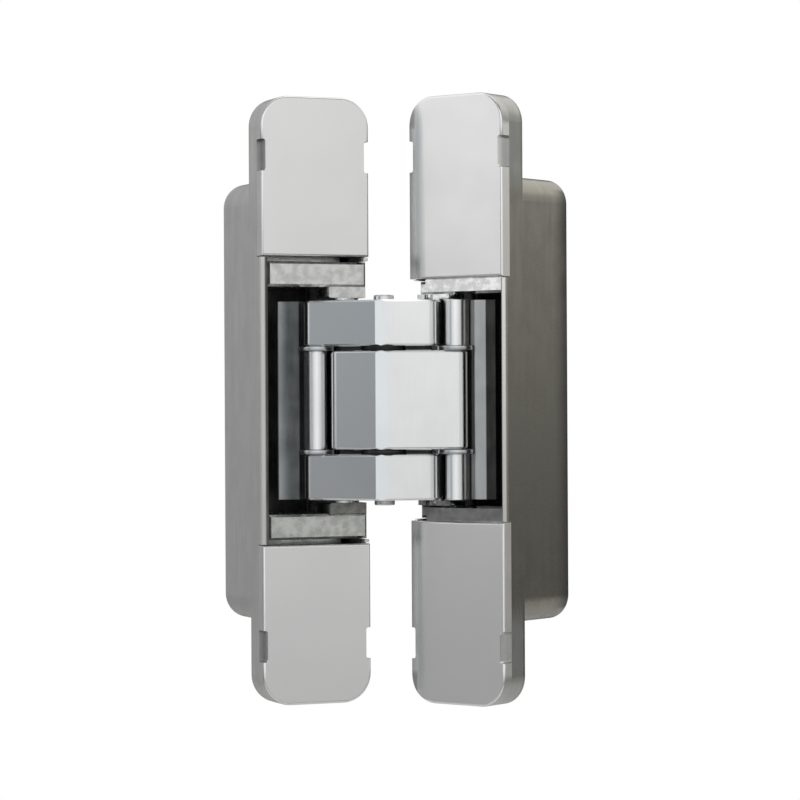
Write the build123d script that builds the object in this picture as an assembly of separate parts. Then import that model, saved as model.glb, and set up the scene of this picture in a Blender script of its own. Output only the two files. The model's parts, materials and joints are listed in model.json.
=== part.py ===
from build123d import *
import math
import os

# Concealed door hinge: two pocketed housings, three link arms and two levers.
# Millimetres and degrees. Each housing is drawn in its own frame, x across the door edge with the
# knuckle side at +x, y into the wood from the visible face, z up along the pins. The door half is the
# mirror image of the frame half in the plane that halves the opening angle through the centre pin.

# Housing envelope
HOUSING_W = 22.8
HOUSING_H = 120.0
HOUSING_D = 23.0
COVER_T = 2.5
FLANGE_T = 4.5
FLANGE_CORNER_R = 5.75
BOX_H = 88.0
BOX_CORNER_R = 5.0
BACK_EDGE_R = 1.0

# Pocket in the housing
WALL_T = 1.5
END_WALL_T = 2.0
POCKET_CORNER_R = 1.5
WELL_H = 57.0
FLOOR_T = 1.8
LEDGE_DEPTH = 17.0
SIDE_GATE_DEPTH = 8.5
GATE_PLAY = 0.2

# Screws that fix the hinge to the wood, in the middle of the flange's tongues
MOUNT_HOLE_R = 2.4
MOUNT_SINK_R = 4.6

# Covers, clipped on the flanges by two pegs each
COVER_EDGE_R = 0.45
CROWN_W = 4.2
NOTCH_FROM_END = 11.7
NOTCH_LENGTH = 6.2
NOTCH_DEPTH = 1.0
NOTCH_CORNER_R = 0.5
PEG_R = 1.2
PEG_LENGTH = 3.2
PEG_X = 7.4
PEG_BEYOND_BOX = 0.6
PEG_PLAY = 0.05

# Bearing blocks in the ends of the pocket
BLOCK_SIDE_PLAY = 0.2
BLOCK_END_Z = 27.5
BLOCK_CHAMFER = 0.5
FOOT_END_PLAY = 2.0
FOOT_SIDE_PLAY = 1.25
FOOT_DEPTH = 9.0
BOSS_R = 3.0
LEVER_BOSS_R = 2.0

# Screws that hold the blocks on the pocket ledges
BLOCK_SCREW_R = 2.0
SCREW_FLOOR_T = 1.8
SCREW_HEAD_R = 3.5
SCREW_HEAD_H = 2.8
SCREW_SOCKET_W = 3.0
SCREW_SOCKET_DEPTH = 1.6
SCREW_HOLE_PLAY = 0.15

# The two halves differ in how far the covers reach and where blocks and walls stop.
# The gaps are the room between the stack of arms and a block or its boss.
FRAME_SIDE = {
    "cover_end": 28.5,
    "rim_depth": 0.7,
    "block_gap": 2.9,
    "block_face": 1.0,
    "ear_end": 27.5,
    "ear_inset": 0.25,
    "boss_gap": 0.4,
    "crown_drop": 0.0,
}
DOOR_SIDE = {
    "cover_end": 24.0,
    "rim_depth": 1.7,
    "block_gap": 1.3,
    "block_face": 2.6,
    "ear_end": 23.5,
    "ear_inset": 0.65,
    "boss_gap": 0.2,
    "crown_drop": 0.5,
}

# Linkage: fixed pivots, arm lengths and the law that ties the arms to the opening angle
REST_OPENING = 120.0
FULL_OPENING = 180.0
PIVOT_INSET = 3.8
PIVOT_DEPTH = 4.6
ARM_PIVOT_LENGTH = 14.0
ARM_LINK_LENGTH = 14.0
ARM_BEND = 57.0
ARM_CLOSED_ANGLE = -62.0
ARM_SHARE = 0.125
LEVER_PIVOT_X = 3.48
LEVER_PIVOT_DEPTH = 9.05

# Arms
CENTRE_ARM_H = 19.4
OUTER_ARM_H = 8.95
ARM_GAP = 0.95
ARM_HUB_R = 3.4
ARM_TIP_R = 2.45
ARM_PIVOT_EYE_R = 2.6
RIDGE_REACH = 4.8
RIDGE_R = 0.4
KNEE_REACH = 10.5
KNEE_BACK = 0.4
KNEE_R = 2.2
ARM_CHAMFER = 0.35
KNUCKLE_RELIEF = 0.4
PAD_R = 1.3
PAD_END_GAP = 1.2
PAD_PLAY = 0.1

# Levers
KNUCKLE_R = 2.05
NECK_R = 1.3
NECK_ALONG = 4.2
NECK_OUT = 3.4
HEEL_FRONT = 1.45
HEEL_T = 3.0
HEEL_NEAR = 3.25
HEEL_FAR = 8.05
HEEL_EDGE_R = 0.5
LEVER_EYE_WALL = 0.95
LEVER_FLOAT = 1.0
LEVER_EYE_X_OFFSET = 0.5
LEVER_EYE_DEPTH_OFFSET = -0.37
LEVER_END_PLAY = 0.05

# Pins and washers
PIVOT_PIN_R = 1.5
LEVER_PIN_R = 1.3
LINK_PIN_R = 1.2
CENTRE_PIN_R = 2.0
CENTRE_PIN_PROUD = 1.0
PIN_END_GAP = 0.2
PIN_CHAMFER = 0.25
RUNNING_CLEARANCE = 0.05
PRESS_CLEARANCE = 0.02
LINK_WASHER_R = 3.4
CENTRE_WASHER_R = 4.4
WASHER_PLAY = 0.05

# Values worked out from the sizes above
FACE_Y = -(COVER_T + FLANGE_T)
HALF_W = HOUSING_W / 2
POCKET_X = HALF_W - WALL_T
POCKET_H = BOX_H - 2 * END_WALL_T
WELL_DEPTH = HOUSING_D - FLOOR_T
MOUNT_Z = (HOUSING_H + BOX_H) / 4
NOTCH_Z = HOUSING_H / 2 - NOTCH_FROM_END
PEG_Z = BOX_H / 2 + PEG_BEYOND_BOX
FOOT_X = POCKET_X - FOOT_SIDE_PLAY
FOOT_END_Z = POCKET_H / 2 - FOOT_END_PLAY
BLOCK_SCREW_Z = (BLOCK_END_Z + FOOT_END_Z) / 2
BLOCK_SCREW_END = HOUSING_D - SCREW_FLOOR_T
CENTRE_TOP = CENTRE_ARM_H / 2
OUTER_FOOT = CENTRE_TOP + ARM_GAP
STACK_TOP = OUTER_FOOT + OUTER_ARM_H
HALF_TURN = math.radians(90.0 - REST_OPENING / 2)
ACROSS = Vector(math.cos(HALF_TURN), -math.sin(HALF_TURN), 0)
INWARD = Vector(math.sin(HALF_TURN), math.cos(HALF_TURN), 0)


def polar(length, angle):
    """A vector in the halving plane's frame: across the hinge and into the wood."""
    return ACROSS * (length * math.cos(angle)) + INWARD * (length * math.sin(angle))


ARM_ANGLE = math.radians(ARM_CLOSED_ANGLE + ARM_SHARE * REST_OPENING)
LINK_ANGLE = ARM_ANGLE + math.radians(ARM_BEND)
PIVOT = Vector(HALF_W - PIVOT_INSET, PIVOT_DEPTH, 0)
CENTRE = PIVOT + polar(ARM_PIVOT_LENGTH, ARM_ANGLE)
FAR_LINK = CENTRE + polar(ARM_LINK_LENGTH, LINK_ANGLE)
NEAR_LINK = CENTRE + polar(ARM_LINK_LENGTH, math.pi - LINK_ANGLE)
LEVER_PIVOT = Vector(LEVER_PIVOT_X, LEVER_PIVOT_DEPTH, 0)
LEVER_EYE = LEVER_PIVOT + Vector(LEVER_EYE_X_OFFSET, LEVER_EYE_DEPTH_OFFSET, 0)
LEVER_EYE_HOLE_R = LEVER_PIN_R + LEVER_FLOAT
HALVING_PLANE = Plane(origin=CENTRE, z_dir=ACROSS)


def slab(x0, x1, y0, y1, z0, z1):
    """A box between two corners."""
    box = Box(x1 - x0, y1 - y0, z1 - z0, align=(Align.MIN, Align.MIN, Align.MIN))
    return Pos(x0, y0, z0) * box


def plate(width, height, radius, y0, y1):
    """A plate with rounded corners, facing the visible side."""
    return Pos(0, y1, 0) * extrude(Plane.XZ * RectangleRounded(width, height, radius), y1 - y0)


def drill(x, z, radius, y0, y1):
    """A cylinder into the wood."""
    rod = Cylinder(radius, y1 - y0, align=(Align.CENTER, Align.CENTER, Align.MIN))
    return Pos(x, y0, z) * Rot(-90, 0, 0) * rod


def post(centre, radius, z0, z1):
    """A cylinder along the pins."""
    rod = Cylinder(radius, z1 - z0, align=(Align.CENTER, Align.CENTER, Align.MIN))
    return Pos(centre.X, centre.Y, z0) * rod


def both_ends(shape):
    """The shape and its mirror image in the mid-height plane."""
    return shape + mirror(shape, Plane.XY)


def hull(*discs):
    """The face around discs given as centre and radius."""
    edges = ShapeList()
    for centre, radius in discs:
        edges += (Pos(centre.X, centre.Y) * Circle(radius)).edges()
    return make_hull(edges)


def stretch(face, z0, z1):
    """A face drawn at mid height, extruded between two levels."""
    return Pos(0, 0, z0) * extrude(face, z1 - z0, dir=(0, 0, 1))


def make_housing(side):
    """The die-cast housing: flange, box, pocket, gate for the arms and screw holes."""
    box = plate(HOUSING_W, BOX_H, BOX_CORNER_R, COVER_T, HOUSING_D)
    box = fillet(box.faces().sort_by(Axis.Y)[-1].edges(), BACK_EDGE_R)
    body = box + plate(HOUSING_W, HOUSING_H, FLANGE_CORNER_R, COVER_T, COVER_T + FLANGE_T)
    rim_z = side["cover_end"] - GATE_PLAY
    body += slab(-HALF_W, HALF_W, side["rim_depth"], COVER_T, -rim_z, rim_z)
    body -= plate(2 * POCKET_X, POCKET_H, POCKET_CORNER_R, 0, LEDGE_DEPTH)
    body -= plate(2 * POCKET_X, WELL_H, POCKET_CORNER_R, 0, WELL_DEPTH)
    gate_z = side["ear_end"] + GATE_PLAY
    body -= slab(0, HOUSING_W, 0, SIDE_GATE_DEPTH, -gate_z, gate_z)
    sink_depth = MOUNT_SINK_R - MOUNT_HOLE_R
    for end in (-1, 1):
        mount_z = end * MOUNT_Z
        body -= drill(0, mount_z, MOUNT_HOLE_R, 0, HOUSING_D)
        sink = Cone(MOUNT_SINK_R, MOUNT_HOLE_R, sink_depth, align=(Align.CENTER, Align.CENTER, Align.MIN))
        body -= Pos(0, COVER_T, mount_z) * Rot(-90, 0, 0) * sink
        for peg_x in (-PEG_X, PEG_X):
            body -= drill(peg_x, end * PEG_Z, PEG_R + PEG_PLAY, 0, COVER_T + PEG_LENGTH + PEG_PLAY)
        screw_bottom = BLOCK_SCREW_END + PRESS_CLEARANCE
        body -= drill(0, end * BLOCK_SCREW_Z, BLOCK_SCREW_R + PRESS_CLEARANCE, 0, screw_bottom)
    return body


def make_cover(side):
    """The upper cover: rounded end, eased front edges, pry notches and two pegs."""
    outline = plate(HOUSING_W, HOUSING_H, FLANGE_CORNER_R, 0, COVER_T)
    cover = outline & slab(-HOUSING_W, HOUSING_W, 0, COVER_T, side["cover_end"], HOUSING_H)
    cover = fillet(cover.faces().sort_by(Axis.Y)[0].edges(), COVER_EDGE_R)
    drop = side["crown_drop"]
    if drop > 0:
        crown_r = (CROWN_W**2 + drop**2) / (2 * drop)
        shaving = slab(HALF_W - CROWN_W, HOUSING_W, -COVER_T, drop, 0, HOUSING_H)
        cover -= shaving - post(Vector(HALF_W - CROWN_W, crown_r), crown_r, 0, HOUSING_H)
    notch = RectangleRounded(2 * NOTCH_DEPTH, NOTCH_LENGTH, NOTCH_CORNER_R)
    for edge_x in (-HALF_W, HALF_W):
        cover -= Pos(edge_x, COVER_T, NOTCH_Z) * extrude(Plane.XZ * notch, COVER_T)
    for peg_x in (-PEG_X, PEG_X):
        cover += drill(peg_x, PEG_Z, PEG_R, COVER_T, COVER_T + PEG_LENGTH)
    return cover


def make_block(side):
    """The upper bearing block: head with the pin bores, ear at the gate and foot on the ledge."""
    head_x = POCKET_X - BLOCK_SIDE_PLAY
    face, inner = side["block_face"], STACK_TOP + side["block_gap"]
    head = slab(-head_x, head_x, face, LEDGE_DEPTH, inner, BLOCK_END_Z)
    ear_depth = SIDE_GATE_DEPTH - GATE_PLAY
    head += slab(head_x, HALF_W - side["ear_inset"], face, ear_depth, inner, side["ear_end"])
    head = chamfer(head.faces().sort_by(Axis.Y)[0].edges(), BLOCK_CHAMFER)
    foot = slab(-FOOT_X, FOOT_X, FOOT_DEPTH, LEDGE_DEPTH, BLOCK_END_Z, FOOT_END_Z)
    boss = hull((PIVOT, BOSS_R), (LEVER_PIVOT, LEVER_BOSS_R))
    block = head + foot + stretch(boss, STACK_TOP + side["boss_gap"], inner)
    block -= post(PIVOT, PIVOT_PIN_R + PRESS_CLEARANCE, 0, BLOCK_END_Z)
    block -= post(LEVER_PIVOT, LEVER_PIN_R + PRESS_CLEARANCE, 0, BLOCK_END_Z)
    block -= drill(0, BLOCK_SCREW_Z, BLOCK_SCREW_R + SCREW_HOLE_PLAY, 0, HOUSING_D)
    return block


def make_block_screw():
    """The socket-head screw that clamps the upper block to its ledge."""
    head = drill(0, BLOCK_SCREW_Z, SCREW_HEAD_R, FOOT_DEPTH - SCREW_HEAD_H, FOOT_DEPTH)
    socket = Pos(0, FOOT_DEPTH - SCREW_HEAD_H + SCREW_SOCKET_DEPTH, BLOCK_SCREW_Z)
    hexagon = RegularPolygon(SCREW_SOCKET_W / 2, 6, major_radius=False)
    head -= socket * extrude(Plane.XZ * hexagon, SCREW_SOCKET_DEPTH)
    return head + drill(0, BLOCK_SCREW_Z, BLOCK_SCREW_R, FOOT_DEPTH, BLOCK_SCREW_END)


def make_pin(centre, radius, half_length):
    """A straight pin with chamfered ends, centred at mid height."""
    pin = post(centre, radius, -half_length, half_length)
    return chamfer(pin.edges().filter_by(GeomType.CIRCLE), PIN_CHAMFER)


def arm_face():
    """The bent arm seen along the pins: eye, knee, ridge over the hub and link tip.

    A hollow behind the knee takes the lever's knuckle when the hinge is fully open.
    """
    ridge = (CENTRE - INWARD * (RIDGE_REACH - RIDGE_R), RIDGE_R)
    hub = (CENTRE, ARM_HUB_R)
    tip = (FAR_LINK, ARM_TIP_R)
    knee = (CENTRE - ACROSS * (KNEE_REACH - KNEE_R) + INWARD * KNEE_BACK, KNEE_R)
    eye = (PIVOT, ARM_PIVOT_EYE_R)
    relief_r = KNUCKLE_R + KNUCKLE_RELIEF
    spread = 2 * math.radians(ARM_SHARE * (FULL_OPENING - REST_OPENING))
    open_link = CENTRE + polar(ARM_LINK_LENGTH, math.pi - LINK_ANGLE - spread)
    solid = hull(ridge, hub, tip) + hull(ridge, hub, knee) + hull(knee, eye)
    return solid - hull((NEAR_LINK, relief_r), (open_link, relief_r))


def make_arm(z0, z1, hub_play, tip_play):
    """One arm between two levels, bored for its three pins."""
    arm = stretch(arm_face(), z0, z1)
    rims = arm.faces().filter_by(Axis.Z).edges()
    arm = chamfer(rims, ARM_CHAMFER)
    arm -= post(PIVOT, PIVOT_PIN_R + RUNNING_CLEARANCE, z0, z1)
    arm -= post(CENTRE, CENTRE_PIN_R + hub_play, z0, z1)
    arm -= post(FAR_LINK, LINK_PIN_R + tip_play, z0, z1)
    return arm


def make_outer_arm():
    """The upper outer arm, with narrow pads on its inner face that steady the centre arm.

    The pads run from the centre washer to just short of the link washers.
    """
    arm = make_arm(OUTER_FOOT, STACK_TOP, PRESS_CLEARANCE, PRESS_CLEARANCE)
    reach = ARM_LINK_LENGTH - LINK_WASHER_R - PAD_END_GAP - PAD_R
    hub = (CENTRE, PAD_R)
    tip_end = (CENTRE + polar(reach, LINK_ANGLE), PAD_R)
    knee_end = (CENTRE - ACROSS * reach + INWARD * KNEE_BACK, PAD_R)
    pads = hull(hub, tip_end) + hull(hub, knee_end)
    pads -= Pos(CENTRE.X, CENTRE.Y) * Circle(CENTRE_WASHER_R + PAD_PLAY)
    return arm + stretch(pads, CENTRE_TOP + PAD_PLAY, OUTER_FOOT)


def lever_spot(along, outward):
    """A point in the lever's frame: from the knuckle towards the eye and away from the arms."""
    axis = (LEVER_EYE - NEAR_LINK).normalized()
    return NEAR_LINK + axis * along + Vector(-axis.Y, axis.X, 0) * outward


def lever_faces():
    """The lever seen along the pins, as the knuckle limb, the heel and the eye limb.

    The three meet in the neck, and the heel's front stands proud of it.
    """
    neck = (lever_spot(NECK_ALONG, NECK_OUT), NECK_R)
    knuckle = hull((NEAR_LINK, NECK_R), neck) + Pos(NEAR_LINK.X, NEAR_LINK.Y) * Circle(KNUCKLE_R)
    front = HEEL_FRONT + HEEL_EDGE_R
    back = HEEL_FRONT + HEEL_T - HEEL_EDGE_R
    near_front = (lever_spot(front, HEEL_NEAR + HEEL_EDGE_R), HEEL_EDGE_R)
    far_front = (lever_spot(front, HEEL_FAR - HEEL_EDGE_R), HEEL_EDGE_R)
    far_back = (lever_spot(back, HEEL_FAR - HEEL_EDGE_R), HEEL_EDGE_R)
    eye = (LEVER_EYE, LEVER_EYE_HOLE_R + LEVER_EYE_WALL)
    return knuckle, hull(near_front, far_front, far_back, neck), hull(neck, eye)


def finish_lever(lever):
    """Bores the knuckle for the link pin and the eye for the lever pin."""
    lever -= post(NEAR_LINK, LINK_PIN_R + RUNNING_CLEARANCE, -STACK_TOP, STACK_TOP)
    return lever - post(LEVER_EYE, LEVER_EYE_HOLE_R, -STACK_TOP, STACK_TOP)


def make_frame_lever():
    """The frame lever: one knuckle between the outer arms and two eyes beside them."""
    knuckle_limb, heel, eye_limb = lever_faces()
    inner_top = CENTRE_TOP - LEVER_END_PLAY
    lever = stretch(knuckle_limb, -inner_top, inner_top)
    lever += stretch(heel, -STACK_TOP, STACK_TOP)
    lever += both_ends(stretch(eye_limb, OUTER_FOOT, STACK_TOP))
    return finish_lever(lever)


def make_door_lever():
    """The door lever: a fork with two knuckles beside the centre arm and one eye between them."""
    knuckle_limb, heel, eye_limb = lever_faces()
    inner_top = CENTRE_TOP - LEVER_END_PLAY
    lever = stretch(eye_limb, -inner_top, inner_top)
    lever += stretch(heel, -STACK_TOP, STACK_TOP)
    lever += both_ends(stretch(knuckle_limb, OUTER_FOOT + LEVER_END_PLAY, STACK_TOP))
    return finish_lever(lever)


def make_washer(centre, radius, bore_r):
    """A thin washer in the gap between the centre arm and the upper outer arm."""
    z0, z1 = CENTRE_TOP + WASHER_PLAY, OUTER_FOOT - WASHER_PLAY
    return post(centre, radius, z0, z1) - post(centre, bore_r + RUNNING_CLEARANCE, z0, z1)


def lower(shape):
    """The lower piece that mirrors an upper one."""
    return mirror(shape, Plane.XY)


def make_half(prefix, side, lever):
    """The fixed pieces and the lever of one half, drawn in the frame half's place."""
    cover, block, screw = make_cover(side), make_block(side), make_block_screw()
    link_washer = make_washer(NEAR_LINK, LINK_WASHER_R, LINK_PIN_R)
    pin_half = BLOCK_END_Z - PIN_END_GAP
    return {
        f"{prefix}_housing": make_housing(side),
        f"{prefix}_upper_cover": cover,
        f"{prefix}_lower_cover": lower(cover),
        f"{prefix}_upper_block": block,
        f"{prefix}_lower_block": lower(block),
        f"{prefix}_upper_block_screw": screw,
        f"{prefix}_lower_block_screw": lower(screw),
        f"{prefix}_pivot_pin": make_pin(PIVOT, PIVOT_PIN_R, pin_half),
        f"{prefix}_lever_pin": make_pin(LEVER_PIVOT, LEVER_PIN_R, pin_half),
        f"{prefix}_lever": lever,
        f"{prefix}_link_pin": make_pin(NEAR_LINK, LINK_PIN_R, STACK_TOP),
        f"{prefix}_upper_link_washer": link_washer,
        f"{prefix}_lower_link_washer": lower(link_washer),
    }


def make_parts():
    """Every piece of the hinge in its place at the rest opening."""
    parts = make_half("frame", FRAME_SIDE, make_frame_lever())
    for name, shape in make_half("door", DOOR_SIDE, make_door_lever()).items():
        parts[name] = mirror(shape, HALVING_PLANE)
    parts["centre_arm"] = make_arm(-CENTRE_TOP, CENTRE_TOP, RUNNING_CLEARANCE, PRESS_CLEARANCE)
    parts["upper_outer_arm"] = mirror(make_outer_arm(), HALVING_PLANE)
    parts["lower_outer_arm"] = lower(parts["upper_outer_arm"])
    centre_washer = make_washer(CENTRE, CENTRE_WASHER_R, CENTRE_PIN_R)
    parts["centre_pin"] = make_pin(CENTRE, CENTRE_PIN_R, STACK_TOP + CENTRE_PIN_PROUD)
    parts["upper_centre_washer"] = centre_washer
    parts["lower_centre_washer"] = lower(centre_washer)
    return parts


os.makedirs("parts", exist_ok=True)
for part_name, part_shape in make_parts().items():
    export_step(Pos(0, FACE_Y, 0) * part_shape, f"parts/{part_name}.step")
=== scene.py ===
"""Looks of a concealed door hinge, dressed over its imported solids.

The solids carry the shape. This script eases their edges, turns the pins, washers and collars
with geometry nodes, gives every piece its finish, and sets up the studio that the hinge is in.
Lengths are metres, and a name that ends in _mm or _deg says otherwise.
"""

from __future__ import annotations

import json
import logging
import math
from dataclasses import dataclass
from enum import Enum
from typing import Any

import bmesh
import bpy
from mathutils import Matrix, Vector

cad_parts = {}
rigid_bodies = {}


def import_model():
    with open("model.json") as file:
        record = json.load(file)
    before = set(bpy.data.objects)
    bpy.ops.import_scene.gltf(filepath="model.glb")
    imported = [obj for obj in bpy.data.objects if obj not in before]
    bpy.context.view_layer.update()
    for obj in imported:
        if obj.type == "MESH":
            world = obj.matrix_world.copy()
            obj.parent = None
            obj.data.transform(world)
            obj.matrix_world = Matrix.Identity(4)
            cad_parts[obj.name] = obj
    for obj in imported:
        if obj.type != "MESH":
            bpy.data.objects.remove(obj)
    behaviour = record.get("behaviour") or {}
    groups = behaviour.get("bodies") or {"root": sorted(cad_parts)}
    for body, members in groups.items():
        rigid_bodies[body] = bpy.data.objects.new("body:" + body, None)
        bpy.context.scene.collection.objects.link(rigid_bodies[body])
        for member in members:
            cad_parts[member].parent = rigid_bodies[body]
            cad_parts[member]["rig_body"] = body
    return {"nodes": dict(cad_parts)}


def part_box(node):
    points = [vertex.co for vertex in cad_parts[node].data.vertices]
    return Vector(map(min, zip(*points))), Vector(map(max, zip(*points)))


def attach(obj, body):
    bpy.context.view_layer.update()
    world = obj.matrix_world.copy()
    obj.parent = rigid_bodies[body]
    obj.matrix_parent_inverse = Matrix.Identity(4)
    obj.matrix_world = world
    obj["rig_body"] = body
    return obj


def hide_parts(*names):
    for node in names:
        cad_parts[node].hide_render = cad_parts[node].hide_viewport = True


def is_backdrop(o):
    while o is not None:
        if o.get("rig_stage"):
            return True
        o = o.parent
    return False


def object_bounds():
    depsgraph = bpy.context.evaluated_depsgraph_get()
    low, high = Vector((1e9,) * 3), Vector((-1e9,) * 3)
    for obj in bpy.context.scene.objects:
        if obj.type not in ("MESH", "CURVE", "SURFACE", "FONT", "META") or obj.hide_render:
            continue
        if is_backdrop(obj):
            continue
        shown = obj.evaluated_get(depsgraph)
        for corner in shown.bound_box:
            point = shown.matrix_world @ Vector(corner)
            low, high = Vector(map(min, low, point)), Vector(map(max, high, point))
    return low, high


LOG = logging.getLogger("hinge")
MM = 0.001
BEYOND_MM = 99.0
WELD_MM = 0.0005
HALVES = ("frame", "door")
ENDS = ("upper", "lower")

QUARTER_DEG = 90.0
UP = Vector((0.0, 0.0, 1.0))

Socket = bpy.types.NodeSocket
Piece = bpy.types.Object
Nodes = dict[str, Piece]
Triple = tuple[float, float, float]
Colour = Triple
Tone = Socket | Colour
WHITE: Colour = (1.0, 1.0, 1.0)


def direction(azimuth_deg: float, elevation_deg: float = 0.0) -> Vector:
    """The way from the hinge to a point around it.

    Args:
        azimuth_deg: 0 in front of the frame half, positive to the right.
        elevation_deg: Above the horizon.

    Returns:
        A vector of length one.
    """
    turn, rise = math.radians(azimuth_deg), math.radians(elevation_deg)
    flat = math.cos(rise)
    return Vector((math.sin(turn) * flat, -math.cos(turn) * flat, math.sin(rise)))


def add_object(name: str, data: bpy.types.ID) -> Piece:
    """A new object in the scene."""
    piece = bpy.data.objects.new(name, data)
    bpy.context.scene.collection.objects.link(piece)
    return piece


class Signal:
    """A node socket that takes part in Python arithmetic.

    Each operator adds one Math node to the tree that the socket belongs to.
    """

    def __init__(self, graph: Graph, socket: Socket) -> None:
        """Wraps one output socket of the graph."""
        self.graph = graph
        self.socket = socket

    def math(self, operation: str, *terms: Signal | float) -> Signal:
        """Adds a Math node with these inputs in order."""
        node = self.graph.add("ShaderNodeMath", dict(enumerate(terms)), operation=operation)
        return self.graph.out(node)

    def __add__(self, other: Signal | float) -> Signal:
        """Sum of two values."""
        return self.math("ADD", self, other)

    def __sub__(self, other: Signal | float) -> Signal:
        """Difference of two values."""
        return self.math("SUBTRACT", self, other)

    def __rsub__(self, other: float) -> Signal:
        """Difference with a number on the left."""
        return self.math("SUBTRACT", other, self)

    def __mul__(self, other: Signal | float) -> Signal:
        """Product of two values."""
        return self.math("MULTIPLY", self, other)

    def at_most(self, other: Signal | float) -> Signal:
        """The smaller of two values."""
        return self.math("MINIMUM", self, other)

    def at_least(self, other: Signal | float) -> Signal:
        """The larger of two values."""
        return self.math("MAXIMUM", self, other)

    def smooth(self, low: float, high: float) -> Signal:
        """Zero below low, one above high and a smooth step between."""
        inputs = {0: self, 1: low, 2: high}
        node = self.graph.add("ShaderNodeMapRange", inputs, interpolation_type="SMOOTHSTEP")
        return self.graph.out(node)


class Graph:
    """A node tree that is filled from Python expressions."""

    def __init__(self, tree: bpy.types.NodeTree) -> None:
        """Empties the tree, ready to be filled."""
        self.tree = tree
        tree.nodes.clear()

    def add(self, kind: str, inputs: dict[str | int, Any] | None = None, **settings: Any) -> bpy.types.Node:
        """Adds a node.

        Args:
            kind: The node's type.
            inputs: Values or links of its sockets, by name or index.
            settings: Attributes of the node, which are set before its sockets.

        Returns:
            The new node.
        """
        node = self.tree.nodes.new(kind)
        for name, setting in settings.items():
            setattr(node, name, setting)
        for key, value in (inputs or {}).items():
            socket = node.inputs[key]
            if isinstance(value, Signal):
                self.tree.links.new(value.socket, socket)
            elif isinstance(value, Socket):
                self.tree.links.new(value, socket)
            else:
                socket.default_value = value
        return node

    def out(self, node: bpy.types.Node, output: str | int = 0) -> Signal:
        """One output of a node as a value."""
        return Signal(self, node.outputs[output])

    def position(self) -> Socket:
        """Object coordinates."""
        return self.add("ShaderNodeTexCoord").outputs["Object"]

    def millimetres(self, stretch: Triple = (1.0, 1.0, 1.0)) -> Socket:
        """Object coordinates in millimetres, with a factor on each axis."""
        scale = tuple(factor / MM for factor in stretch)
        mapping = self.add("ShaderNodeMapping", {"Vector": self.position(), "Scale": scale})
        return mapping.outputs["Vector"]

    def noise(self, vector: Socket, per_mm: float, detail: float) -> Signal:
        """Smooth noise from 0 to 1, with its features in a millimetre and its finer octaves."""
        inputs = {"Vector": vector, "Scale": per_mm, "Detail": detail}
        return self.out(self.add("ShaderNodeTexNoise", inputs))

    def mix(self, share: Signal, first: Tone, second: Tone, **settings: Any) -> Socket:
        """Mixes two colours, where share is how much there is of the second."""
        start, end = ((*tone, 1.0) if isinstance(tone, tuple) else tone for tone in (first, second))
        node = self.add("ShaderNodeMix", {0: share, 6: start, 7: end}, data_type="RGBA", **settings)
        return node.outputs[2]

    def seen(self) -> Signal:
        """One where the camera looks straight or through glass, and zero for light and mirrors."""
        path = self.add("ShaderNodeLightPath")
        return self.out(path, "Is Camera Ray").at_least(self.out(path, "Is Transmission Ray"))


def new_material(name: str) -> tuple[bpy.types.Material, Graph]:
    """A material with an empty graph."""
    material = bpy.data.materials.new(name)
    material.use_nodes = True
    return material, Graph(material.node_tree)


class Grain(Enum):
    """How a metal surface was left by its making."""

    BLASTED = "blasted"
    DIE_CAST = "die_cast"
    ROUGH_CAST = "rough_cast"
    BRUSHED = "brushed"
    TURNED = "turned"


@dataclass(frozen=True)
class Finish:
    """One metal finish.

    Attributes:
        label: The material's name.
        slot: The record's material slot.
        dark: Colour in the surface's darker patches.
        light: Colour in its lighter patches.
        roughness: Roughness between the patches.
        uneven: How far roughness swings with the patches.
        grain: What made the surface.
        relief_mm: Height of its grain.
    """

    label: str
    slot: str
    dark: Colour
    light: Colour
    roughness: float
    uneven: float
    grain: Grain
    relief_mm: float

    def surface(self, graph: Graph) -> tuple[Signal, Signal]:
        """Builds the pattern of the grain.

        Args:
            graph: The material's graph.

        Returns:
            The patches, from 0 to 1, and the height of the grain, from 0 to 1.
        """
        if self.grain is Grain.TURNED:
            rings = graph.noise(graph.millimetres((0.02, 0.02, 1.0)), per_mm=4.5, detail=2.0)
            return rings.smooth(0.3, 0.7), rings
        plain = graph.millimetres()
        if self.grain is Grain.BLASTED:
            clouds = graph.noise(plain, per_mm=0.09, detail=2.0)
            return clouds.smooth(0.3, 0.7), graph.noise(plain, per_mm=5.0, detail=2.0)
        if self.grain is Grain.DIE_CAST:
            flow = graph.noise(graph.millimetres((1.0, 1.0, 0.12)), per_mm=0.55, detail=3.0)
            skin = graph.noise(plain, per_mm=0.22, detail=4.0)
            return (flow * 0.5 + skin * 0.5).smooth(0.35, 0.65), graph.noise(plain, per_mm=2.6, detail=3.0)
        if self.grain is Grain.ROUGH_CAST:
            blotch = graph.noise(plain, per_mm=0.62, detail=5.0)
            pits = graph.noise(plain, per_mm=2.4, detail=3.0)
            return blotch.smooth(0.36, 0.64), blotch * 0.72 + pits * 0.28
        strokes = graph.noise(graph.millimetres((1.0, 1.0, 0.04)), per_mm=5.5, detail=3.0)
        sheen = graph.noise(plain, per_mm=0.14, detail=2.0)
        return (sheen * 0.65 + strokes * 0.35).smooth(0.3, 0.7), strokes

    def look(self, graph: Graph) -> Look:
        """Builds the finish in a material's graph."""
        patches, height = self.surface(graph)
        roughness = patches * (-2.0 * self.uneven) + (self.roughness + self.uneven)
        return Look(graph.mix(patches, self.dark, self.light), roughness, height * self.relief_mm)

    def material(self) -> bpy.types.Material:
        """Builds the material."""
        material, graph = new_material(self.label)
        self.look(graph).shade(graph)
        return material


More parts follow.
